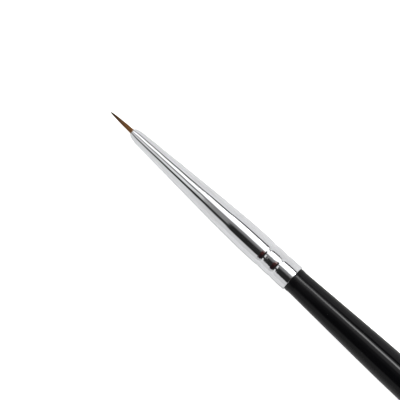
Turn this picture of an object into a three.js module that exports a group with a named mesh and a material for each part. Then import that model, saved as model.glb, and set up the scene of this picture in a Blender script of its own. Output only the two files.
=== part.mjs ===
// A fine detail brush for model painting: a needle-pointed tuft of hair, tied and glued into a long
// tapered metal ferrule, which is glued and crimped onto a turned and lacquered wooden handle.
//
// Millimetres. The brush lies along X with its hair tip towards -X, resting on its belly at z = 0,
// and the origin is under the middle of its length. Every piece is turned about the brush's axis.
// Places along the axis are measured from the ferrule's mouth: ahead of it is negative.
import * as THREE from "three";

// Overall sizes.
const brushLength = 180; // from the hair tip to the tail end
const hairOutLength = 5.5; // hair showing ahead of the ferrule
const ferruleLength = 39;

// Ferrule: a drawn tube with a long cone, a straight rear part, and two rolled crimp rings.
const ferruleDiameter = 5.2; // of the straight part
const ferruleWall = 0.25;
const coneLength = 29.4; // from the mouth to the start of the straight part
const coneFrontDiameter = 2.24; // where the cone would reach the mouth if it ran on
const shoulderBlend = 6.2; // how softly the cone runs into the straight part
const noseLength = 1.8; // the front of the cone, drawn in towards the hair
const mouthDiameter = 1.62;
const mouthWall = 0.27; // drawing the mouth in thickens the wall
const lipRound = 0.12;
const rimRound = 0.07;
const crimpPitch = 2.9; // between the two rings
const crimpInset = 3.4; // from the rear rim to the nearer ring
const grooveWidth = 0.6; // the sharp middle of a ring
const grooveDepth = 0.06;
const dishDepth = 0.065; // of the shallow dish that the wall sinks in round it
const dishAhead = 1; // from the ring to the dish's front edge
const dishBehind = 2;

// Hair and what holds it inside the ferrule.
const pointPower = 0.5; // 1 would be a straight-sided point; less is a fuller one
const rootDepth = 12; // how far the hair runs in behind the mouth
const rootDiameter = 1.24; // of the bundle where it is tied
const rootSpreadLength = 5; // from the mouth to where the bundle has its full width
const bindingLength = 2.2;
const bindingInset = 1; // from the back of the binding to the cut ends of the hair
const threadDiameter = 0.22;
const hairGlueFront = 2.6; // how close to the mouth the glue runs
const hairGlueBehind = 2.5; // glue standing behind the cut ends

// Handle.
const tenonLength = 16;
const tenonChamfer = 0.4;
const tenonGlueThickness = 0.15;
const neckEntry = 0.8; // how far the lacquered neck goes into the ferrule
const neckClearance = 0.07; // all round the neck, inside the ferrule
const neckFlare = 0.036; // radius gained per millimetre behind the ferrule
const bellyDiameter = 6.6;
const bellyPlace = 38; // from the ferrule's rim to the fattest place
const tailDiameter = 2.7;
const tailRound = 0.65;

// Left between neighbouring pieces, all of which share one set of flats round the axis.
const gap = 0.04;
const roundSides = 24;

const coneStep = 3.6; // between the rings of points along the ferrule's plain parts
const handleRings = 14; // along each half of the handle's outline
const roundPoints = 3; // on a rounded edge
const groovePoints = 4; // across one groove
const dishPoints = 6; // across one dish
const pointRings = 6; // along the hair ahead of the mouth
const nosePoints = 4;

const crimpPlaces = [0, 1].map((i) => ferruleLength - crimpInset - crimpPitch * (1 - i));
const rootRadius = rootDiameter / 2;
const tenonFront = ferruleLength - tenonLength;

// How far the crimp rings press the wall in. Each is a narrow cosine wave over a shallow dish, which
// falls in a cosine wave ahead of the ring and rises again behind it as a parabola.
function crimpDip(place) {
  const share = (length) => Math.min(Math.max(length, 0), 1);
  const wave = (across) => (1 + Math.cos(Math.PI * across)) / 2;
  const dips = crimpPlaces.map((centre) => {
    const groove = wave(share(Math.abs(place - centre) / (grooveWidth / 2)));
    const falling = wave(share((centre - place) / dishAhead));
    const rising = (1 - share((place - centre) / dishBehind)) ** 2;
    return grooveDepth * groove + dishDepth * falling * rising;
  });
  return dips[0] + dips[1];
}

// Outside radius of the ferrule: a cone that bends softly into the straight part, drawn in at the nose.
function ferruleOutside(place) {
  const ahead = Math.max(coneLength - place, 0);
  const fall = (length) => (length * length) / (length + shoulderBlend);
  const cone = (ferruleDiameter - coneFrontDiameter) / 2;
  const nose = Math.max(1 - place / noseLength, 0);
  const drawnIn = (coneFrontDiameter - mouthDiameter) / 2;
  const taper = (cone * fall(ahead)) / fall(coneLength);
  return ferruleDiameter / 2 - taper - drawnIn * nose * nose - crimpDip(place);
}

// Inside radius of the ferrule: the wall thins evenly from the mouth to the straight part.
function ferruleInside(place) {
  const back = Math.min(place / coneLength, 1);
  return ferruleOutside(place) - mouthWall - (ferruleWall - mouthWall) * back;
}

// Places along the axis between two others, close together at the nose and across the crimp rings.
// Neighbouring pieces take theirs from the same list, so their surfaces run side by side.
function placesBetween(front, back) {
  const spread = (from, to, count) => {
    return [...Array(count + 1).keys()].map((i) => from + ((to - from) * i) / count);
  };
  const across = (centre, before, after, count) => spread(centre - before, centre + after, count);
  const straightEnd = crimpPlaces[0] - dishAhead;
  const half = grooveWidth / 2;
  const all = [
    ...spread(0, noseLength, nosePoints),
    ...spread(noseLength, straightEnd, Math.ceil((straightEnd - noseLength) / coneStep)),
    ...crimpPlaces.flatMap((centre) => across(centre, dishAhead, dishBehind, dishPoints)),
    ...crimpPlaces.flatMap((centre) => across(centre, half, half, groovePoints)),
  ];
  const nearest = 1e-3;
  const inner = all.filter((place) => place > front + nearest && place < back - nearest);
  const apart = inner.sort((a, b) => a - b).filter((place, i) => i === 0 || place - inner[i - 1] > nearest);
  return [front, ...apart, back];
}

// Points [place, radius] of an outline that follows the inside of the ferrule at a distance from it.
function insideFerrule(front, back, inset) {
  return placesBetween(front, back).map((place) => [place, ferruleInside(place) - inset]);
}

// A quarter round from one corner of a square to the opposite one, bulging along the first step.
function quarterRound([place, radius], alongAxis, alongRadius, axisFirst) {
  return [...Array(roundPoints + 1).keys()].map((i) => {
    const angle = (Math.PI / 2) * (i / roundPoints);
    const first = Math.sin(angle);
    const second = 1 - Math.cos(angle);
    const [a, r] = axisFirst ? [first, second] : [second, first];
    return [place + alongAxis * a, radius + alongRadius * r];
  });
}

// A solid turned from an outline of [place, radius] points, which starts and ends on the axis or closes.
function turned(name, outline, finish) {
  const points = outline.map(([place, radius]) => new THREE.Vector2(radius, place));
  const shape = new THREE.LatheGeometry(points, roundSides, Math.PI / roundSides);
  const mesh = new THREE.Mesh(shape, new THREE.MeshStandardMaterial(finish));
  mesh.name = name;
  return mesh;
}

// Hair: a full needle point, squeezed by the mouth and spreading to its cut ends inside. The radius
// ahead of the mouth goes by a power of the distance from the tip.
function hairOutline() {
  const mouthRadius = ferruleInside(0) - gap;
  const point = [...Array(pointRings).keys()].map((i) => {
    const along = (i / pointRings) ** 2;
    return [hairOutLength * (along - 1), mouthRadius * along ** pointPower];
  });
  return [...point, [0, mouthRadius], ...hairRoots(0, gap).slice(1), [rootDepth, 0]];
}

// The bundle inside the ferrule, at a distance from its surface. It keeps to the narrow nose at first.
function hairRoots(front, inset) {
  return placesBetween(front, rootDepth).map((place) => {
    const spread = Math.min(place / rootSpreadLength, 1);
    const mouthRadius = ferruleInside(0) - gap;
    return [place, mouthRadius + (rootRadius - mouthRadius) * spread + inset - gap];
  });
}

function buildHair() {
  return turned("hair_tuft", hairOutline(), { color: 0x6a4426, roughness: 0.55, metalness: 0 });
}

// The thread tied round the hair, as one ring of its outer shape.
const bindingBack = rootDepth - bindingInset;
const bindingFront = bindingBack - bindingLength;
const bindingInside = rootRadius + gap;
const bindingOutside = bindingInside + threadDiameter;

function buildBinding() {
  const soft = threadDiameter / 2;
  const outline = [
    [bindingFront, bindingInside],
    ...quarterRound([bindingFront, bindingOutside - soft], soft, soft, false),
    ...quarterRound([bindingBack - soft, bindingOutside], soft, -soft, true),
    [bindingBack, bindingInside],
    [bindingFront, bindingInside],
  ];
  return turned("root_binding", outline, { color: 0xd8d2c4, roughness: 0.9, metalness: 0 });
}

// The glue that locks the hair: it fills the ferrule round the bundle and caps the cut ends.
function buildHairGlue() {
  const back = rootDepth + hairGlueBehind;
  const roots = hairRoots(hairGlueFront, 2 * gap);
  const ahead = roots.filter(([place]) => place < bindingFront - gap);
  const bore = rootRadius + gap;
  const outline = [
    ...insideFerrule(hairGlueFront, back, gap),
    [back, 0],
    [rootDepth + gap, 0],
    [rootDepth + gap, bore],
    [bindingBack + gap, bore],
    [bindingBack + gap, bindingOutside + gap],
    [bindingFront - gap, bindingOutside + gap],
    [bindingFront - gap, bore],
    ...ahead.reverse(),
    [hairGlueFront, ferruleInside(hairGlueFront) - gap],
  ];
  return turned("hair_glue_plug", outline, { color: 0xc79a4a, roughness: 0.35, metalness: 0 });
}

// Ferrule: open at both ends, with a rounded lip at the mouth and at the rear rim.
function buildFerrule() {
  const lip = [0, ferruleOutside(lipRound) - lipRound];
  const rim = [ferruleLength - rimRound, ferruleOutside(ferruleLength)];
  const outline = [
    [0, ferruleInside(0)],
    ...quarterRound(lip, lipRound, lipRound, false),
    ...placesBetween(lipRound, ferruleLength - rimRound).slice(1, -1).map((p) => [p, ferruleOutside(p)]),
    ...quarterRound(rim, rimRound, -rimRound, true),
    ...insideFerrule(0, ferruleLength, 0).reverse(),
  ];
  return turned("ferrule", outline, { color: 0xdcdde0, roughness: 0.08, metalness: 1 });
}

// The film of glue between the tenon and the ferrule, pressed into the same rings by the crimping.
function buildTenonGlue() {
  const front = tenonFront + tenonChamfer;
  const back = ferruleLength - neckEntry - gap;
  const outside = insideFerrule(front, back, gap);
  const inside = insideFerrule(front, back, gap + tenonGlueThickness).reverse();
  const outline = [...outside, ...inside, outside[0]];
  return turned("tenon_glue", outline, { color: 0xe6dcc0, roughness: 0.4, metalness: 0 });
}

// Handle: a bare tenon in the ferrule, then the lacquered neck, belly and long tail in one curve.
function buildHandle() {
  const tenonInset = tenonGlueThickness + 2 * gap;
  const neckStart = ferruleLength - neckEntry;
  const neckRadius = ferruleInside(ferruleLength) - neckClearance;
  const bellyRadius = bellyDiameter / 2;
  const tailRadius = tailDiameter / 2;
  const tailEnd = brushLength - hairOutLength;
  const belly = ferruleLength + bellyPlace;
  const tail = tailEnd - tailRound - belly;
  const at = (place, radius) => new THREE.Vector2(place, radius);
  const swelling = new THREE.CubicBezierCurve(
    at(ferruleLength, neckRadius),
    at(ferruleLength + bellyPlace / 3, neckRadius + (neckFlare * bellyPlace) / 3),
    at(ferruleLength + bellyPlace * 0.63, bellyRadius),
    at(belly, bellyRadius),
  );
  const thinning = new THREE.CubicBezierCurve(
    at(belly, bellyRadius),
    at(belly + tail * 0.25, bellyRadius),
    at(belly + tail * 0.6, tailRadius * 1.35),
    at(tailEnd - tailRound, tailRadius),
  );
  const tenon = insideFerrule(tenonFront + tenonChamfer, neckStart, tenonInset);
  const outline = [
    [tenonFront, 0],
    [tenonFront, tenon[0][1] - tenonChamfer],
    ...tenon,
    [neckStart, neckRadius],
    ...swelling.getPoints(handleRings).map((p) => [p.x, p.y]),
    ...thinning.getPoints(handleRings).slice(1, -1).map((p) => [p.x, p.y]),
    ...quarterRound([tailEnd - tailRound, tailRadius], tailRound, -tailRound, true),
    [tailEnd, 0],
  ];
  return turned("handle", outline, { color: 0x0c0c0d, roughness: 0.18, metalness: 0 });
}

// The turned pieces stand along +Y, so the group lays them along +X and rests the belly on the ground.
const brush = new THREE.Group();
brush.add(buildHair(), buildBinding(), buildHairGlue(), buildFerrule(), buildTenonGlue(), buildHandle());
brush.rotation.z = -Math.PI / 2;
const restHeight = (bellyDiameter / 2) * Math.cos(Math.PI / roundSides);
brush.position.set(hairOutLength - brushLength / 2, 0, restHeight);

const root = new THREE.Group();
root.add(brush);
export default root;
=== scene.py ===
"""The looks of a fine detail brush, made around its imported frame.

The brush lies along X with its hair towards -X, resting on its belly on the floor at z = 0. The sections
follow it as it is put together: hair, thread, glue, plated ferrule, glue again, and lacquered handle.
"""
import math

import bpy
import numpy as np
from mathutils import Matrix, Vector


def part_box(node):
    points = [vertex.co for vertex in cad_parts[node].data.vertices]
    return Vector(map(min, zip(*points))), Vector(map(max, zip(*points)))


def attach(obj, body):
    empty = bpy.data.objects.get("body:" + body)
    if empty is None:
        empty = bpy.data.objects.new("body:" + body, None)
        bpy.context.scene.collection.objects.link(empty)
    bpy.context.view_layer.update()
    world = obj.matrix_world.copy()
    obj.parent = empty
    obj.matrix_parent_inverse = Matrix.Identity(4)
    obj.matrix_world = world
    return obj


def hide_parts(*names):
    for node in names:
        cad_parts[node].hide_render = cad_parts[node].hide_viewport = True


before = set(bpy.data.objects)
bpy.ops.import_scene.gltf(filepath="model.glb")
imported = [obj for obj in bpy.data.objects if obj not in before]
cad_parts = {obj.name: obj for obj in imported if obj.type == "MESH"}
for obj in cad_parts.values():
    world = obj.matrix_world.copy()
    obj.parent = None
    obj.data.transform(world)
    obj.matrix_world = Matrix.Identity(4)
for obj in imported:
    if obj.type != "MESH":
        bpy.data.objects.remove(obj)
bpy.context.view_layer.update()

# Camera. It looks down on the lying brush through a long lens, from a little towards the tail, so that
# the point is at the upper left and the handle runs out of the picture at the lower right.
MM = 0.001
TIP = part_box("hair_tuft")[0].x
AXIS_HEIGHT = (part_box("handle")[0].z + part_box("handle")[1].z) / 2

VIEW_WIDTH = 71.6 * MM  # across the picture, at the brush
VIEW_DISTANCE = 0.6
SENSOR_WIDTH = 36.0
CLIP_NEAR, CLIP_FAR = 0.01, 20.0
TILT = math.radians(5.0)  # of the view direction, towards the tail
SLANT = math.radians(42.45)  # of the brush in the picture, below the horizontal
AIM_BEHIND_TIP = 22.76 * MM
AIM_ASIDE = 0.85 * MM

towards_camera = Vector((math.sin(TILT), 0, math.cos(TILT)))
along_brush = Vector((math.cos(TILT), 0, -math.sin(TILT)))
across_brush = Vector((0, 1, 0))
picture_right = along_brush * math.cos(SLANT) + across_brush * math.sin(SLANT)
picture_up = across_brush * math.cos(SLANT) - along_brush * math.sin(SLANT)
aim = Vector((TIP + AIM_BEHIND_TIP, 0, AXIS_HEIGHT)) - across_brush * AIM_ASIDE
camera = bpy.data.objects.new("camera", bpy.data.cameras.new("camera"))
camera.data.sensor_width = SENSOR_WIDTH
camera.data.lens = SENSOR_WIDTH * VIEW_DISTANCE / VIEW_WIDTH
camera.data.clip_start = CLIP_NEAR
camera.data.clip_end = CLIP_FAR
turn = Matrix((picture_right, picture_up, towards_camera)).transposed().to_4x4()
camera.matrix_world = Matrix.Translation(aim + towards_camera * VIEW_DISTANCE) @ turn
bpy.context.scene.collection.objects.link(camera)
bpy.context.scene.camera = camera

# Hair. A round of fine brown hair drawn to a needle point, its natural tips forwards. It narrows to
# pass the ferrule's mouth, and the cut ends spread again inside, where the thread and the glue hold it.
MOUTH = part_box("ferrule")[0].x
HAIR_COUNT = 110
HAIR_RADIUS = 0.036 * MM
HAIR_SIDES = 5
HAIR_RINGS = 13
RING_CROWDING = 1.25  # 1 would space the rings evenly; more draws them towards the tip
TIP_SHARE = 0.45  # of a hair's full radius, at its own tip
SWELL_LENGTH = 2.6 * MM  # from a hair's tip to where it has its full radius
SWELL_POWER = 0.8
WANDER = 0.012 * MM  # how far a hair typically drifts sideways midway
SHORT_SHARE = 0.17  # of the length that shows, by which the outermost hairs may stop short
GOLDEN_ANGLE = math.pi * (3 - math.sqrt(5))
TUFT_RADIUS = 0.50 * MM  # of the bundle where it leaves the mouth
POINT_POWER = 0.43  # 1 would be a straight-sided cone; less is a fuller point
ROOT_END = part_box("hair_tuft")[1].x
ROOT_RADIUS = 0.62 * MM
ROOT_SPREAD = 5 * MM  # behind the mouth, where the bundle reaches its full width
LOCKS = 5  # of lighter hair round the tuft
LOCK_TURN = 2.0  # radians that their wave is turned by
LOCK_SHARE = 0.7  # of a hair's shade that comes from its lock; the rest is chance
TIP_COLOUR_PLACE, FULL_COLOUR_PLACE = TIP + 0.6 * MM, MOUTH - 0.8 * MM
DARK_HAIR = (0.085, 0.035, 0.010)
LIGHT_HAIR = (0.30, 0.135, 0.040)
NATURAL_TIP = (0.040, 0.017, 0.005)
HAIR_SCALES = (0.05, 0.022, 0.01)


def mesh_piece(name, corners, faces):
    """A piece from an array of corners and a list or array of faces, smooth shaded."""
    mesh = bpy.data.meshes.new(name)
    mesh.from_pydata(corners.tolist(), [], [list(face) for face in faces])
    mesh.polygons.foreach_set("use_smooth", np.ones(len(mesh.polygons), bool))
    mesh.update()
    piece = bpy.data.objects.new(name, mesh)
    bpy.context.scene.collection.objects.link(piece)
    return piece


def tubes(centres, radii, sides):
    """Corners and faces of tubes that lie nearly along X. One face closes each end.

    centres is (tubes, rings, 3) and radii (tubes, rings). Corner (t, r, s) is the centre plus the radius
    times (0, cos a, sin a), with a = 2 pi s / sides.
    """
    count, rings = radii.shape
    angle = 2 * np.pi * np.arange(sides) / sides
    circle = np.stack([np.zeros(sides), np.cos(angle), np.sin(angle)], axis=1)
    corners = centres[:, :, None] + radii[:, :, None, None] * circle
    number = np.arange(count * rings * sides).reshape(count, rings, sides)
    beside = np.roll(number, -1, axis=2)
    quads = np.stack([number[:, :-1], beside[:, :-1], beside[:, 1:], number[:, 1:]], axis=-1)
    caps = [*number[:, 0, ::-1], *number[:, -1]]
    return corners.reshape(-1, 3), [*quads.reshape(-1, 4), *caps]


def bundle_radius(x):
    """Radius of the whole bundle: u to the power POINT_POWER of its mouth radius at u of the way from the
    tip to the mouth, then growing evenly to the root radius behind it."""
    ahead = np.clip((x - TIP) / (MOUTH - TIP), 0, 1)
    behind = np.clip((x - MOUTH) / ROOT_SPREAD, 0, 1)
    return TUFT_RADIUS * ahead**POINT_POWER + (ROOT_RADIUS - TUFT_RADIUS) * behind


def hair_tuft():
    """Hairs packed in a sunflower pattern: hair i keeps the share sqrt(i / count) of the bundle's radius
    and the angle i times the golden angle. Outer hairs end sooner, so that the point is a few hairs.

    Each hair drifts sideways by half a sine wave. The shade of a hair, from 0 dark to 1 light, is partly
    chance and partly a sine of LOCKS times its angle, which gathers light and dark hair into locks.
    """
    random = np.random.default_rng(seed=7)
    order = np.arange(HAIR_COUNT) + 0.5
    share = np.sqrt(order / HAIR_COUNT)
    angle = order * GOLDEN_ANGLE
    short = (MOUTH - TIP) * (SHORT_SHARE * share**2 * random.uniform(0.05, 1, HAIR_COUNT))
    start = (TIP + short)[:, None]
    step = np.linspace(0, 1, HAIR_RINGS) ** RING_CROWDING
    x = start + (ROOT_END - start) * step
    drift = random.normal(0, WANDER, (2, HAIR_COUNT, 1)) * np.sin(np.pi * step)
    reach = np.maximum(bundle_radius(x) - HAIR_RADIUS, 0) * share[:, None]
    y = reach * np.cos(angle)[:, None] + drift[0]
    z = reach * np.sin(angle)[:, None] + drift[1] + AXIS_HEIGHT
    grown = np.clip((x - start) / SWELL_LENGTH, 0, 1)
    radii = HAIR_RADIUS * (TIP_SHARE + (1 - TIP_SHARE) * grown**SWELL_POWER)
    corners, faces = tubes(np.stack([x, y, z], axis=-1), radii, HAIR_SIDES)
    piece = mesh_piece("hair", corners, faces)
    lock = 0.5 + 0.5 * np.sin(LOCKS * angle + LOCK_TURN)
    shade = LOCK_SHARE * lock + (1 - LOCK_SHARE) * random.uniform(0, 1, HAIR_COUNT)
    each_corner = np.repeat(shade, HAIR_RINGS * HAIR_SIDES)
    piece.data.attributes.new("shade", "FLOAT", "POINT").data.foreach_set("value", each_corner)
    return piece


def new_material(name, base, roughness, metallic=0.0):
    """A material whose Principled shader has these values, with its node tree and the shader itself."""
    material = bpy.data.materials.new(name)
    material.use_nodes = True
    shader = material.node_tree.nodes["Principled BSDF"]
    shader.inputs["Base Color"].default_value = (*base, 1)
    shader.inputs["Roughness"].default_value = roughness
    shader.inputs["Metallic"].default_value = metallic
    return material, material.node_tree, shader


def add_node(tree, kind, inputs=None, **settings):
    """Adds a node, sets its properties, and sets or links its inputs, named or numbered."""
    made = tree.nodes.new(kind)
    for key, value in settings.items():
        setattr(made, key, value)
    for key, value in (inputs or {}).items():
        if isinstance(value, bpy.types.NodeSocket):
            tree.links.new(value, made.inputs[key])
        else:
            made.inputs[key].default_value = value
    return made


def calculate(tree, operation, *values, clamp=False):
    """One step of arithmetic on values, each a number or a socket."""
    inputs = dict(enumerate(values))
    return add_node(tree, "ShaderNodeMath", inputs, operation=operation, use_clamp=clamp).outputs[0]


def between(tree, value, low, high, start=0.0, end=1.0):
    """value carried from the range low..high to start..end and held there outside it."""
    return add_node(tree, "ShaderNodeMapRange", {0: value, 1: low, 2: high, 3: start, 4: end}).outputs[0]


def blend_colours(tree, mask, low, high):
    """The colour from low to high that a mask picks; each is a socket, or its red, green and blue."""
    factor, first, second, result = 0, 6, 7, 2  # this node's sockets for colours
    pair = [(*colour, 1) if isinstance(colour, tuple) else colour for colour in (low, high)]
    inputs = {factor: mask, first: pair[0], second: pair[1]}
    return add_node(tree, "ShaderNodeMix", inputs, data_type="RGBA").outputs[result]


def raised(tree, height, strength, distance, under=None):
    """The normal of a surface that a height raises by up to a distance, on the bumps under it if any."""
    inputs = {"Height": height, "Strength": strength, "Distance": distance}
    if under is not None:
        inputs["Normal"] = under
    return add_node(tree, "ShaderNodeBump", inputs).outputs[0]


def brush_place(tree):
    """Where a point is on the brush: its Object coordinates."""
    return add_node(tree, "ShaderNodeTexCoord").outputs["Object"]


def length_along(tree, place):
    """How far along X a place is."""
    return add_node(tree, "ShaderNodeSeparateXYZ", {0: place}).outputs[0]


def streaks_group():
    """Fine lines that run with or round the brush. The mask is noise at (Along x, Across y, Across z),
    spread Contrast times as far from a half and held within 0 to 1."""
    group = bpy.data.node_groups.new("streaks", "ShaderNodeTree")
    group.interface.new_socket("Vector", in_out="INPUT", socket_type="NodeSocketVector")
    for name in ("Along", "Across", "Contrast"):
        group.interface.new_socket(name, in_out="INPUT", socket_type="NodeSocketFloat")
    group.interface.new_socket("Mask", in_out="OUTPUT", socket_type="NodeSocketFloat")
    inlet = add_node(group, "NodeGroupInput").outputs
    stretch = {0: inlet["Along"], 1: inlet["Across"], 2: inlet["Across"]}
    scale = add_node(group, "ShaderNodeCombineXYZ", stretch).outputs[0]
    stretched = {0: inlet["Vector"], 1: scale}
    place = add_node(group, "ShaderNodeVectorMath", stretched, operation="MULTIPLY").outputs[0]
    noise = add_node(group, "ShaderNodeTexNoise", {"Vector": place, "Scale": 1.0, "Detail": 3.0}).outputs[0]
    centred = calculate(group, "SUBTRACT", noise, 0.5)
    spread = calculate(group, "MULTIPLY", centred, inlet["Contrast"])
    mask = calculate(group, "ADD", spread, 0.5, clamp=True)
    add_node(group, "NodeGroupOutput", {"Mask": mask})
    return group


STREAKS = streaks_group()


def streaks(tree, vector, along, across, contrast):
    """Places the streak group and gives its mask."""
    inputs = {"Vector": vector, "Along": along, "Across": across, "Contrast": contrast}
    return add_node(tree, "ShaderNodeGroup", inputs, node_tree=STREAKS).outputs["Mask"]


def hair_material():
    """Chestnut hair, darker at the natural tips, each hair its own shade, with fine scales along it."""
    material, tree, shader = new_material("chestnut_hair", (0.15, 0.065, 0.028), roughness=0.42)
    shader.inputs["Specular IOR Level"].default_value = 0.22
    place = brush_place(tree)
    along = length_along(tree, place)
    shade = add_node(tree, "ShaderNodeAttribute", attribute_name="shade").outputs["Fac"]
    hair_colour = blend_colours(tree, shade, DARK_HAIR, LIGHT_HAIR)
    behind_tip = between(tree, along, TIP_COLOUR_PLACE, FULL_COLOUR_PLACE)
    tipped = blend_colours(tree, behind_tip, NATURAL_TIP, hair_colour)
    scales = streaks(tree, place, along=9000.0, across=4000.0, contrast=2.0)
    scaled = blend_colours(tree, between(tree, scales, 0, 1, end=0.35), tipped, HAIR_SCALES)
    tree.links.new(scaled, shader.inputs["Base Color"])
    tree.links.new(between(tree, scales, 0, 1, start=0.34, end=0.52), shader.inputs["Roughness"])
    bumps = raised(tree, scales, strength=0.25, distance=0.004 * MM)
    tree.links.new(bumps, shader.inputs["Normal"])
    return material


hair = hair_tuft()
hair.data.materials.append(hair_material())
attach(hair, "root")
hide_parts("hair_tuft")

# Root binding. Waxed thread wound tight round the hair near its cut ends and glued over, which keeps
# the bundle round while it goes into the ferrule. It is out of sight once the brush is made.
GAP = 0.04 * MM  # the frame leaves this between neighbouring pieces
THREAD_FRONT, THREAD_BACK = (corner.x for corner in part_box("root_binding"))
THREAD_RADIUS = 0.11 * MM
THREAD_TURNS = 9
THREAD_STEPS = 28  # in one turn
THREAD_SIDES = 8


def wound_thread():
    """A tube along a helix: at turn w it is at angle 2 pi w round the axis and w pitches along it. Its
    section is turned into the plane across the thread, and one face closes each end."""
    steps = THREAD_TURNS * THREAD_STEPS + 1
    angle = np.linspace(0, 2 * np.pi * THREAD_TURNS, steps)
    lay = ROOT_RADIUS + GAP + THREAD_RADIUS
    length = THREAD_BACK - THREAD_FRONT - 2 * THREAD_RADIUS
    x = THREAD_FRONT + THREAD_RADIUS + length * angle / angle[-1]
    outwards = np.stack([np.zeros(steps), np.cos(angle), np.sin(angle)], axis=1)
    centres = lay * outwards + np.stack([x, np.zeros(steps), np.full(steps, AXIS_HEIGHT)], axis=1)
    along = np.gradient(centres, axis=0)
    along /= np.linalg.norm(along, axis=1, keepdims=True)
    sideways = np.cross(along, outwards)
    around = 2 * np.pi * np.arange(THREAD_SIDES) / THREAD_SIDES
    ring = np.cos(around)[:, None] * outwards[:, None] + np.sin(around)[:, None] * sideways[:, None]
    corners = centres[:, None] + THREAD_RADIUS * ring
    number = np.arange(steps * THREAD_SIDES).reshape(steps, THREAD_SIDES)
    beside = np.roll(number, -1, axis=1)
    quads = np.stack([number[:-1], number[1:], beside[1:], beside[:-1]], axis=-1)
    faces = [*quads.reshape(-1, 4), number[0], number[-1, ::-1]]
    return mesh_piece("binding_thread", corners.reshape(-1, 3), faces)


def thread_material():
    """Waxed undyed thread: pale, with its twist as short slanting streaks in its bump. Its colour follows
    that bump as painted shade, darker in the hollows and paler on the raised strands.
    """
    material, tree, shader = new_material("waxed_thread", (0.70, 0.66, 0.56), roughness=0.75)
    place = brush_place(tree)
    twist_and_painted_shade = streaks(tree, place, along=14000.0, across=6000.0, contrast=2.5)
    # painted shade: the mask that raises the twist also darkens the colour where the bump is low
    colour = blend_colours(tree, twist_and_painted_shade, (0.50, 0.45, 0.36), (0.78, 0.74, 0.64))
    tree.links.new(colour, shader.inputs["Base Color"])
    tree.links.new(raised(tree, twist_and_painted_shade, strength=0.5, distance=0.01 * MM), shader.inputs["Normal"])
    return material


thread = wound_thread()
thread.data.materials.append(thread_material())
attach(thread, "root")
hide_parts("root_binding")


# Hair glue plug. Amber epoxy run in behind the hair and set hard, filling the ferrule round the bundle.
# Its shape is right as the frame has it, so it only gets its finish.
def glue_material(name, pale, deep, roughness):
    """Set glue: a base colour that drifts from pale to deep with slow noise, and tiny bubbles as bump."""
    material, tree, shader = new_material(name, pale, roughness)
    place = brush_place(tree)
    cloud = streaks(tree, place, along=900.0, across=900.0, contrast=2.0)
    tree.links.new(blend_colours(tree, cloud, pale, deep), shader.inputs["Base Color"])
    cells = {"Vector": place, "Scale": 5000.0}
    bubbles = add_node(tree, "ShaderNodeTexVoronoi", cells).outputs["Distance"]
    tree.links.new(raised(tree, bubbles, strength=0.3, distance=0.01 * MM), shader.inputs["Normal"])
    return material


def give_finish(node_name, material):
    """Puts a material in every slot of a piece that the frame already has."""
    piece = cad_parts[node_name]
    if not piece.material_slots:
        piece.data.materials.append(material)
    for slot in piece.material_slots:
        slot.material = material


epoxy = glue_material("amber_epoxy", (0.62, 0.36, 0.10), (0.42, 0.20, 0.05), roughness=0.2)
give_finish("hair_glue_plug", epoxy)

# Ferrule. A brass tube drawn down to a long taper, polished and plated bright, with a rounded lip at
# the mouth. Two rolled rings near its rear rim bite into the handle; the wall dishes in round each.
FLATS = 24  # of the frame's solids, which are turned with a flat side down
ROUND = 1 / math.cos(math.pi / FLATS)  # from a solid's half width across its flats to its round radius
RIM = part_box("ferrule")[1].x
FERRULE_LENGTH = RIM - MOUTH
FERRULE_RADIUS = (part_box("ferrule")[1].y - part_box("ferrule")[0].y) / 2 * ROUND
CONE_LENGTH = 29.4 * MM
CONE_FRONT_RADIUS = 1.12 * MM
SHOULDER_BLEND = 6.2 * MM
NOSE_LENGTH = 1.8 * MM
MOUTH_RADIUS = 0.81 * MM
MOUTH_WALL = 0.27 * MM
REAR_WALL = 0.25 * MM
LIP_ROUND = 0.12 * MM
RIM_ROUND = 0.07 * MM
CRIMP_PLACES = (FERRULE_LENGTH - 6.3 * MM, FERRULE_LENGTH - 3.4 * MM)  # behind the mouth
GROOVE_WIDTH, GROOVE_DEPTH = 0.6 * MM, 0.06 * MM
DISH_AHEAD, DISH_BEHIND, DISH_DEPTH = 1.0 * MM, 2.0 * MM, 0.065 * MM
FERRULE_SIDES = 144
CONE_RINGS, CRIMPED_RINGS = 120, 180
TUBE_WAVE = 9 * MM  # along the tube, from one high spot of its unevenness to the next
TUBE_UNEVEN = 0.003 * MM
CLEAN_PLATE = (0.83, 0.84, 0.86)
SMUDGED_PLATE = (0.76, 0.765, 0.78)
CHATTER = 0.4  # of the roller, as a share of its deepest mark
CHATTER_START = (-1.3 * MM, -0.3 * MM)  # from the first ring; it goes on to the rim
CHATTER_RISE = (-1.2 * MM, -0.7 * MM)  # from each ring, where it doubles
CHATTER_FALL = (0.2 * MM, -0.2 * MM)


def crimp_dip(place):
    """Depth of the crimp rings. Each is a narrow cosine wave over a shallow dish, which falls in a
    cosine wave ahead of the ring and rises again behind it as a parabola, (1 - u) squared."""
    depth = np.zeros_like(place)
    for centre in CRIMP_PLACES:
        groove = np.minimum(np.abs(place - centre) / (GROOVE_WIDTH / 2), 1)
        ahead = np.clip((centre - place) / DISH_AHEAD, 0, 1)
        behind = np.clip((place - centre) / DISH_BEHIND, 0, 1)
        depth += GROOVE_DEPTH * (1 + np.cos(np.pi * groove)) / 2
        depth += DISH_DEPTH * (1 + np.cos(np.pi * ahead)) / 2 * (1 - behind) ** 2
    return depth


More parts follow.
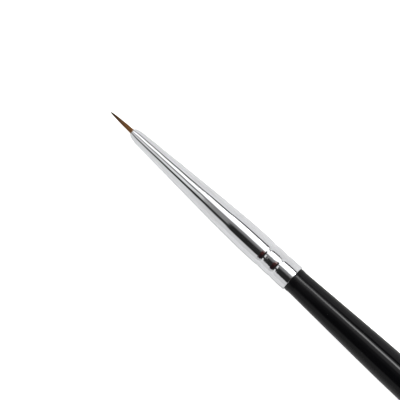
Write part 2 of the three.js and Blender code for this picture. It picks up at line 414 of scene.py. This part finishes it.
def plain_ferrule(place):
    """Outside radius without the crimp rings: the cone falls by f(a) = a * a / (a + blend), where a is
    how far the place is ahead of the straight part, and the nose is drawn in by a parabola."""
    ahead = np.maximum(CONE_LENGTH - place, 0)
    fall = ahead**2 / (ahead + SHOULDER_BLEND)
    whole_fall = CONE_LENGTH**2 / (CONE_LENGTH + SHOULDER_BLEND)
    nose = np.maximum(1 - place / NOSE_LENGTH, 0)
    taper = (FERRULE_RADIUS - CONE_FRONT_RADIUS) * fall / whole_fall
    return FERRULE_RADIUS - taper - (CONE_FRONT_RADIUS - MOUTH_RADIUS) * nose**2


def ferrule_inside(place):
    """Inside radius without the crimp rings: the wall thins evenly from the mouth to the straight part."""
    wall = MOUTH_WALL + (REAR_WALL - MOUTH_WALL) * np.minimum(place / CONE_LENGTH, 1)
    return plain_ferrule(place) - wall


def quarter_round(steps=7):
    """sin t and 1 - cos t as t goes through a right angle: how far a rounded edge has gone each way."""
    angle = np.linspace(0, np.pi / 2, steps)
    return np.sin(angle), 1 - np.cos(angle)


def turned_grid(name, place, radius, closed):
    """A surface turned about the brush's axis from rings of corners.

    place is (rings,) behind the mouth and radius is (rings, sides); corner (r, s) is at angle
    2 pi s / sides. The outline closes on itself, or each end is drawn together in one corner.
    """
    rings, sides = radius.shape
    angle = 2 * np.pi * np.arange(sides) / sides
    x = np.broadcast_to((MOUTH + place)[:, None], radius.shape)
    y = radius * np.cos(angle)
    z = radius * np.sin(angle) + AXIS_HEIGHT
    corners = np.stack([x, y, z], axis=-1).reshape(-1, 3)
    number = np.arange(rings * sides).reshape(rings, sides)
    if closed:
        number = np.concatenate([number, number[:1]])
    beside = np.roll(number, -1, axis=1)
    quads = np.stack([number[:-1], beside[:-1], beside[1:], number[1:]], axis=-1).reshape(-1, 4)
    if closed:
        return mesh_piece(name, corners, quads)
    ends = np.array([[MOUTH + place[0], 0, AXIS_HEIGHT], [MOUTH + place[-1], 0, AXIS_HEIGHT]])
    front = np.stack([np.full(sides, len(corners)), beside[0], number[0]], axis=-1)
    back = np.stack([np.full(sides, len(corners) + 1), number[-1], beside[-1]], axis=-1)
    return mesh_piece(name, np.concatenate([corners, ends]), [*quads, *front, *back])


def ferrule():
    """The outside from the lip to the rear rim and the inside back again.

    Sines of 3, 5 and 8 times the angle press the crimp rings a little deeper on some sides. Sines of 2
    and 3 times the angle, turning along the tube, put it a few thousandths of a millimetre out of round.
    """
    out, along = quarter_round()
    lip_place = LIP_ROUND * along
    lip_radius = plain_ferrule(np.full_like(along, LIP_ROUND)) - LIP_ROUND * (1 - out)
    rim_place = FERRULE_LENGTH - RIM_ROUND * (1 - out)
    rim_radius = FERRULE_RADIUS - RIM_ROUND * along
    crimps_start = CRIMP_PLACES[0] - DISH_AHEAD
    cone = np.linspace(LIP_ROUND, crimps_start, CONE_RINGS)[1:-1]
    crimped = np.linspace(crimps_start, FERRULE_LENGTH - RIM_ROUND, CRIMPED_RINGS)[:-1]
    body = np.concatenate([cone, crimped])
    inner = np.concatenate([[FERRULE_LENGTH], body[::-1], [0.0]])
    place = np.concatenate([lip_place, body, rim_place, inner])
    radius = np.concatenate([lip_radius, plain_ferrule(body), rim_radius, ferrule_inside(inner)])
    angle = 2 * np.pi * np.arange(FERRULE_SIDES) / FERRULE_SIDES
    uneven = 1 + 0.10 * np.sin(3 * angle + 0.7) + 0.07 * np.sin(5 * angle + 2.1) + 0.04 * np.sin(8 * angle)
    wave = 2 * np.pi * place[:, None] / TUBE_WAVE
    out_of_round = TUBE_UNEVEN * (np.sin(2 * angle + wave) + 0.6 * np.sin(3 * angle - 1.7 * wave))
    surface = radius[:, None] - crimp_dip(place)[:, None] * uneven + out_of_round
    return turned_grid("ferrule_tube", place, surface, closed=True)


def rolled_mask(tree, along):
    """How hard the rolling tool worked the plating: CHATTER from just ahead of the first ring to the rim,
    and twice that close ahead of each ring."""
    rings = [MOUTH + place for place in CRIMP_PLACES]
    mask = between(tree, along, *(rings[0] + step for step in CHATTER_START), end=CHATTER)
    for ring in rings:
        rise = between(tree, along, *(ring + step for step in CHATTER_RISE))
        fall = between(tree, along, *(ring + step for step in CHATTER_FALL), end=CHATTER)
        mask = calculate(tree, "MULTIPLY_ADD", rise, fall, mask)
    return mask


def plating_material():
    """Bright plating over polished brass: fine draw lines along the tube, polishing lines round it, faint
    smudges that dull it, and the chatter of the rolling tool at the crimp rings."""
    material, tree, shader = new_material("bright_plating", (0.80, 0.81, 0.83), roughness=0.05, metallic=1.0)
    place = brush_place(tree)
    along = length_along(tree, place)
    drawn = streaks(tree, place, along=60.0, across=5200.0, contrast=2.2)
    polished = streaks(tree, place, along=7000.0, across=500.0, contrast=2.0)
    smudge = streaks(tree, place, along=160.0, across=420.0, contrast=2.6)
    scratched = between(tree, calculate(tree, "MULTIPLY", drawn, polished), 0, 1, start=0.03, end=0.10)
    rough = calculate(tree, "ADD", between(tree, smudge, 0.55, 1, end=0.07), scratched)
    tree.links.new(rough, shader.inputs["Roughness"])
    tint = blend_colours(tree, smudge, CLEAN_PLATE, SMUDGED_PLATE)
    tree.links.new(tint, shader.inputs["Base Color"])
    grain = {"Vector": place, "Scale": 2600.0, "Detail": 2.0}
    chatter = add_node(tree, "ShaderNodeTexNoise", grain).outputs[0]
    worked = calculate(tree, "MULTIPLY", chatter, rolled_mask(tree, along))
    normal = raised(tree, drawn, strength=0.35, distance=0.0006 * MM)
    normal = raised(tree, polished, strength=0.3, distance=0.0004 * MM, under=normal)
    normal = raised(tree, worked, strength=1.0, distance=0.028 * MM, under=normal)
    tree.links.new(normal, shader.inputs["Normal"])
    return material


tube = ferrule()
tube.data.materials.append(plating_material())
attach(tube, "root")
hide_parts("ferrule")

# Tenon glue. The film between the wooden tenon and the ferrule, squeezed thin where the rings press in.
# The frame's shape is right, so it only gets its finish.
wood_glue = glue_material("tenon_glue", (0.80, 0.74, 0.58), (0.66, 0.58, 0.42), roughness=0.4)
give_finish("tenon_glue", wood_glue)

# Handle. Turned hardwood with a bare tenon in the ferrule and several coats of black gloss lacquer on
# the rest: a narrow neck, a belly for the fingers, and a long thin tail with a rounded end.
TENON_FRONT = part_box("handle")[0].x - MOUTH
TENON_CHAMFER = 0.4 * MM
TENON_INSET = 0.23 * MM  # of the tenon from the ferrule's inside, for the glue and its gaps
NECK_ENTRY = 0.8 * MM
NECK_RADIUS = 2.28 * MM
NECK_STEPS = np.array([0, 0.05, 0.3]) * MM  # from the tenon's end, where the lacquer's edge rises
NECK_STEP_EASE = 0.02 * MM  # which rounds the foot and the top of that edge
NECK_FLARE = 0.036  # radius gained per length behind the ferrule
BELLY_RADIUS = (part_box("handle")[1].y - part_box("handle")[0].y) / 2 * ROUND
BELLY_PLACE = 38 * MM  # behind the rim
BELLY_SHOULDER = 0.63  # share of the way from rim to belly that steers the outline level
TAIL_SHOULDER = 0.25  # share of the way from belly to tail that keeps it level
TAIL_THINNING = 0.6, 1.35  # share of that way, and of the tail's radius, that draw it thin
TAIL_RADIUS = 1.35 * MM
TAIL_ROUND = 0.65 * MM
TAIL_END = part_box("handle")[1].x - MOUTH
BEAD_PLACE = 0.35 * MM  # behind the ferrule's rim, where the lacquer ran up to it
BEAD_WIDTH = 0.5 * MM
BEAD_HEIGHT = 0.10 * MM
COAT_WAVE = 14 * MM  # along the handle, from one high spot of the lacquer to the next
COAT_UNEVEN = 0.004 * MM
COAT_EDGE = 2 * MM  # over which the unevenness fades out at the rim and at the tail
HANDLE_SIDES = 112
WOOD_PALE, WOOD_DEEP = (0.62, 0.43, 0.25), (0.42, 0.26, 0.13)
WOOD_ROUGHNESS = 0.6
LACQUER, SMUDGED_LACQUER = (0.0014, 0.0014, 0.0017), (0.0028, 0.0028, 0.0032)
DUST = (0.10, 0.10, 0.10)
HANDLED_LENGTH = 22 * MM  # behind the rim, where fingers have dulled the lacquer


def cubic_curve(points, steps):
    """Points on a cubic Bezier curve: (1-t)^3 a + 3 (1-t)^2 t b + 3 (1-t) t^2 c + t^3 d."""
    a, b, c, d = np.array(points)
    t = np.linspace(0, 1, steps)[:, None]
    return (1 - t) ** 3 * a + 3 * (1 - t) ** 2 * t * b + 3 * (1 - t) * t**2 * c + t**3 * d


def handle():
    """The outline runs from the tenon's front face through neck, belly and tail to the small flat end. The
    lacquer makes it a few thousandths of a millimetre wavy, and it stands in a bead behind the rim: a
    bell curve exp(-u squared), where u is the distance from the bead's crest in BEAD_WIDTHs."""
    neck_start = FERRULE_LENGTH - NECK_ENTRY
    belly = FERRULE_LENGTH + BELLY_PLACE
    round_start = TAIL_END - TAIL_ROUND
    tail = round_start - belly
    swelling = cubic_curve([
        (FERRULE_LENGTH, NECK_RADIUS),
        (FERRULE_LENGTH + BELLY_PLACE / 3, NECK_RADIUS + NECK_FLARE * BELLY_PLACE / 3),
        (FERRULE_LENGTH + BELLY_PLACE * BELLY_SHOULDER, BELLY_RADIUS),
        (belly, BELLY_RADIUS),
    ], steps=70)
    thinning = cubic_curve([
        (belly, BELLY_RADIUS),
        (belly + tail * TAIL_SHOULDER, BELLY_RADIUS),
        (belly + tail * TAIL_THINNING[0], TAIL_RADIUS * TAIL_THINNING[1]),
        (round_start, TAIL_RADIUS),
    ], steps=110)
    tenon_place = np.linspace(TENON_FRONT + TENON_CHAMFER, neck_start, 60)
    tenon = ferrule_inside(tenon_place) - crimp_dip(tenon_place) - TENON_INSET
    step_place = neck_start + NECK_STEPS
    step = np.array([tenon[-1] + NECK_STEP_EASE, NECK_RADIUS - NECK_STEP_EASE, NECK_RADIUS])
    out, along = quarter_round(9)
    place = np.concatenate([
        [TENON_FRONT], tenon_place, step_place, swelling[:, 0], thinning[1:-1, 0],
        TAIL_END - TAIL_ROUND * (1 - out), [TAIL_END],
    ])
    radius = np.concatenate([
        [tenon[0] - TENON_CHAMFER], tenon, step, swelling[:, 1], thinning[1:-1, 1],
        TAIL_RADIUS - TAIL_ROUND * along, [(TAIL_RADIUS - TAIL_ROUND) * 0.5],
    ])
    angle = 2 * np.pi * np.arange(HANDLE_SIDES) / HANDLE_SIDES
    wave = 2 * np.pi * place[:, None] / COAT_WAVE
    wavy = COAT_UNEVEN * (np.sin(2 * angle + wave) + 0.5 * np.sin(3 * angle - 2.3 * wave))
    fade_in = np.clip((place - FERRULE_LENGTH) / COAT_EDGE, 0, 1)
    fade_out = np.clip((TAIL_END - place) / COAT_EDGE, 0, 1)
    lacquered = (fade_in * fade_out)[:, None]
    bead = BEAD_HEIGHT * np.exp(-(((place - FERRULE_LENGTH - BEAD_PLACE) / BEAD_WIDTH) ** 2))
    return turned_grid("lacquered_handle", place, (radius + bead)[:, None] + wavy * lacquered, closed=False)


def lacquer_material():
    """Black gloss lacquer over wood that shows only on the tenon. The lacquer has a faint orange peel,
    fine rubbing lines, smudges and specks of dust, and handling has dulled it near the ferrule."""
    material, tree, shader = new_material("black_lacquer", (0.002, 0.002, 0.0023), roughness=0.1)
    shader.inputs["IOR"].default_value = 1.27
    place = brush_place(tree)
    along = length_along(tree, place)
    covered = between(tree, along, RIM - NECK_ENTRY - 0.1 * MM, RIM - NECK_ENTRY)
    grain = streaks(tree, place, along=120.0, across=2600.0, contrast=2.6)
    wood = blend_colours(tree, grain, WOOD_DEEP, WOOD_PALE)
    smudge = streaks(tree, place, along=130.0, across=300.0, contrast=2.4)
    black = blend_colours(tree, smudge, LACQUER, SMUDGED_LACQUER)
    cells = {"Vector": place, "Scale": 900.0, "Randomness": 1.0}
    dust = add_node(tree, "ShaderNodeTexVoronoi", cells).outputs["Distance"]
    dusty = blend_colours(tree, between(tree, dust, 0.035, 0.02), black, DUST)
    tree.links.new(blend_colours(tree, covered, wood, dusty), shader.inputs["Base Color"])
    handled = between(tree, along, RIM, RIM + HANDLED_LENGTH, start=0.09, end=0.0)
    polish = between(tree, smudge, 0, 1, start=0.065, end=0.12)
    gloss = calculate(tree, "ADD", polish, handled)
    rough = between(tree, covered, 0, 1, start=WOOD_ROUGHNESS, end=gloss)
    tree.links.new(rough, shader.inputs["Roughness"])
    rubbed = streaks(tree, place, along=90.0, across=3800.0, contrast=2.2)
    peel = streaks(tree, place, along=1500.0, across=1500.0, contrast=1.5)
    normal = raised(tree, peel, strength=0.5, distance=0.002 * MM)
    normal = raised(tree, rubbed, strength=0.25, distance=0.001 * MM, under=normal)
    tree.links.new(normal, shader.inputs["Normal"])
    return material


handle_piece = handle()
handle_piece.data.materials.append(lacquer_material())
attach(handle_piece, "root")
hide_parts("handle")

# Floor and light. The brush lies on a white table in a pale tent. A bright softbox leans over it from
# one side and a black card stands on the other; behind the brush's tail is a dim, reddish room.
FLOOR_SIZE = 2.4
FLOOR_GREY = (0.68, 0.68, 0.68)
FLOOR_GLOW = 0.9  # towards the camera only, so that shadows on the floor stay faint
TO_CARD_EDGE = 0.071, 0.079  # arches over the brush, which pale_tent explains, from the card to its edge
TO_PAST_CARD = 0.1045, 0.1070
TO_ROOM = -0.06, -0.11
TO_FAR_ROOM = -0.24, -0.32
SOFTBOX_REACH = 0.2  # how much further towards the tail the softbox stands than the card, as an arch
SOFTBOX_SIDE = math.radians(-25), math.radians(5)  # round the brush, from full reach to none
LAMP_PLACE = (0, 0.35, 1.1)
LAMP_SIZE = 1.2
LAMP_POWER = 9.0


def white_table():
    """A flat white square that gives off a little light of its own, so that shadows on it stay faint."""
    half = FLOOR_SIZE / 2
    corners = np.array([(-half, -half, 0), (half, -half, 0), (half, half, 0), (-half, half, 0)])
    floor = mesh_piece("floor", corners, [(0, 1, 2, 3)])
    material, tree, shader = new_material("white_table", FLOOR_GREY, roughness=0.9)
    shader.inputs["Specular IOR Level"].default_value = 0.0
    shader.inputs["Emission Color"].default_value = (1, 1, 1, 1)
    camera_ray = add_node(tree, "ShaderNodeLightPath").outputs["Is Camera Ray"]
    tree.links.new(between(tree, camera_ray, 0, 1, end=FLOOR_GLOW), shader.inputs["Emission Strength"])
    floor.data.materials.append(material)
    return floor


def colour_stops(tree, factor, stops):
    """A colour ramp over angles from -180 to 180 degrees; each stop is (angle, red, green, blue)."""
    ramp = add_node(tree, "ShaderNodeValToRGB", {0: factor})
    elements = ramp.color_ramp.elements
    elements[0].color = (*stops[0][1:], 1)
    elements[-1].color = (*stops[-1][1:], 1)
    for angle, *colour in stops[1:-1]:
        elements.new((angle + 180) / 360).color = (*colour, 1)
    return ramp.outputs[0]


def grey_stops(*pairs):
    """Stops of plain grey, each from an angle and a brightness."""
    return [(angle, grey, grey, grey) for angle, grey in pairs]


def pale_tent():
    """The tent as light by direction: a ramp of brightness by the angle round the brush, and five of
    those side by side, from past the card at the hair's end to the far room at the tail's end.

    Round the brush, the angle is 0 overhead, negative on the softbox's side and positive on the card's.
    The arch of a direction d is -(d_x + sin TILT) / sqrt((1 + d_z) / 2). It is the same all round a cone
    that lies along X and mirrors the direction upwards: 0 for a cylinder, and more for a steeper cone.
    The softbox reaches further towards the tail than the card, so the room starts later on its side.
    The camera itself sees plain white all round, and no horizon.
    """
    world = bpy.data.worlds.new("pale_tent")
    bpy.context.scene.world = world
    world.use_nodes = True
    tree = world.node_tree
    tree.nodes.clear()
    direction = add_node(tree, "ShaderNodeTexCoord").outputs["Generated"]
    x, y, z = add_node(tree, "ShaderNodeSeparateXYZ", {0: direction}).outputs
    around = calculate(tree, "ARCTAN2", calculate(tree, "MULTIPLY", y, -1.0), z)
    factor = between(tree, around, -math.pi, math.pi)
    towards_hair = calculate(tree, "MULTIPLY_ADD", x, -1.0, -math.sin(TILT))
    half_up = calculate(tree, "MULTIPLY_ADD", z, 0.5, 0.501)  # (1 + d_z) / 2, kept just above zero
    arch = calculate(tree, "DIVIDE", towards_hair, calculate(tree, "POWER", half_up, 0.5))
    card = colour_stops(tree, factor, grey_stops(
        (-180, 1.0), (-114, 1.0), (-100, 0.86), (-80, 0.83), (-65, 0.85), (-63, 0.05), (-53, 0.05),
        (-51, 1.5), (-44, 1.6), (-41, 15.0), (-34, 15.0), (-30, 1.8), (-12, 1.3), (-7, 0.27), (5, 0.22),
        (12, 0.09), (18, 0.020), (53, 0.020), (56, 0.10), (60, 0.70), (88, 0.70), (180, 0.72)))
    card_edge = colour_stops(tree, factor, grey_stops(
        (-180, 1.0), (-120, 1.0), (-101, 0.77), (-85, 0.80), (-59, 0.88), (-57, 0.04), (-46, 0.04),
        (-44, 1.5), (-12, 1.3), (-6, 0.26), (28, 0.26), (33, 0.04), (50, 0.04), (54, 0.75), (180, 0.74)))
    past_card = colour_stops(tree, factor, grey_stops(
        (-180, 1.0), (-120, 1.0), (-101, 0.77), (-85, 0.80), (-54, 0.88), (-52, 0.03), (-39, 0.03),
        (-37, 1.4), (-11, 1.3), (-8, 0.20), (3, 0.20), (6, 0.9), (26, 0.75), (31, 0.03), (47, 0.03),
        (51, 0.78), (180, 0.76)))
    room = colour_stops(tree, factor, [
        (-180, 0.75, 0.75, 0.75), (-60, 0.72, 0.72, 0.72), (-53, 0.70, 0.70, 0.70), (-48, 1.4, 1.4, 1.4),
        (-22, 1.2, 1.2, 1.2), (-17, 0.06, 0.03, 0.03), (-11, 0.03, 0.012, 0.012), (-8, 0.50, 0.36, 0.33),
        (-1, 0.45, 0.31, 0.28), (2, 0.05, 0.019, 0.018), (20, 0.07, 0.022, 0.020),
        (27, 0.02, 0.007, 0.007), (64, 0.012, 0.006, 0.008), (72, 0.6, 0.6, 0.6), (180, 0.62, 0.62, 0.62)])
    far_room = colour_stops(tree, factor, grey_stops(
        (-180, 0.75), (-48, 0.75), (-44, 1.3), (-22, 1.2), (-17, 0.02), (64, 0.015), (72, 0.6),
        (180, 0.62)))
    reach = between(tree, around, *SOFTBOX_SIDE, start=SOFTBOX_REACH, end=0.0)
    slanted = calculate(tree, "ADD", arch, reach)
    seen = blend_colours(tree, between(tree, slanted, *TO_ROOM), card, room)
    seen = blend_colours(tree, between(tree, arch, *TO_FAR_ROOM), seen, far_room)
    seen = blend_colours(tree, between(tree, arch, *TO_CARD_EDGE), seen, card_edge)
    seen = blend_colours(tree, between(tree, arch, *TO_PAST_CARD), seen, past_card)
    camera_ray = add_node(tree, "ShaderNodeLightPath").outputs["Is Camera Ray"]
    backdrop = blend_colours(tree, camera_ray, seen, (1.0, 1.0, 1.0))
    light = add_node(tree, "ShaderNodeBackground", {"Color": backdrop, "Strength": 1.0}).outputs[0]
    add_node(tree, "ShaderNodeOutputWorld", {0: light})


def overhead_light():
    """A wide soft lamp above the table. It lights what scatters light, and the tent gives reflections."""
    lamp = bpy.data.lights.new("overhead", "AREA")
    lamp.shape = "DISK"
    lamp.size = LAMP_SIZE
    lamp.energy = LAMP_POWER
    holder = bpy.data.objects.new("overhead", lamp)
    holder.location = LAMP_PLACE
    holder.rotation_euler = (-Vector(LAMP_PLACE)).to_track_quat("-Z", "Y").to_euler()
    holder.visible_glossy = False
    holder.visible_camera = False
    bpy.context.scene.collection.objects.link(holder)


white_table()
pale_tent()
overhead_light()
bpy.context.scene.view_settings.view_transform = "Standard"
